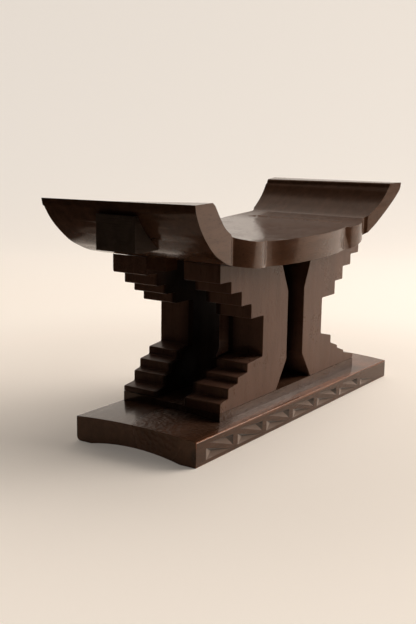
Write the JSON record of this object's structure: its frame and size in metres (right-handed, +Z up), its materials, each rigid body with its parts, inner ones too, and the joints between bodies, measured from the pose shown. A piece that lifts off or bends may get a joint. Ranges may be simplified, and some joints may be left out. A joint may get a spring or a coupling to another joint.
{
  "type": "carved wooden headrest",
  "caption": "Long low wooden headrest: a curved head board with upswept ends on four stepped uprights over a flat base board with a chip-carved edge.",
  "frame": {"origin": "on the ground, under the middle of the head board, which is also the bottom centre of the whole object's box", "axes": "+X along the headrest from its near end to its far end, +Y from the chip-carved long edge to the plain one, +Z up"},
  "size_m": [0.2936, 0.122, 0.1618],
  "materials": {
    "head_board_wood": "dark wood, oiled and hand-polished to a soft gloss, with paler worn edges",
    "upright_wood": "dark wood, satin, with fine saw and chisel marks on the steps",
    "base_board_wood": "dark wood, waxed, worn red-brown along the top edges",
    "lug_wood": "dark wood with a duller sawn face and close horizontal lines"
  },
  "bodies": {
    "root": {"head_board": "head_board_wood", "base_board": "base_board_wood", "upright_front_near": "upright_wood", "upright_front_far": "upright_wood", "upright_back_near": "upright_wood", "upright_back_far": "upright_wood", "end_lug_near": "lug_wood", "end_lug_far": "lug_wood"}
  },
  "joints": []
}
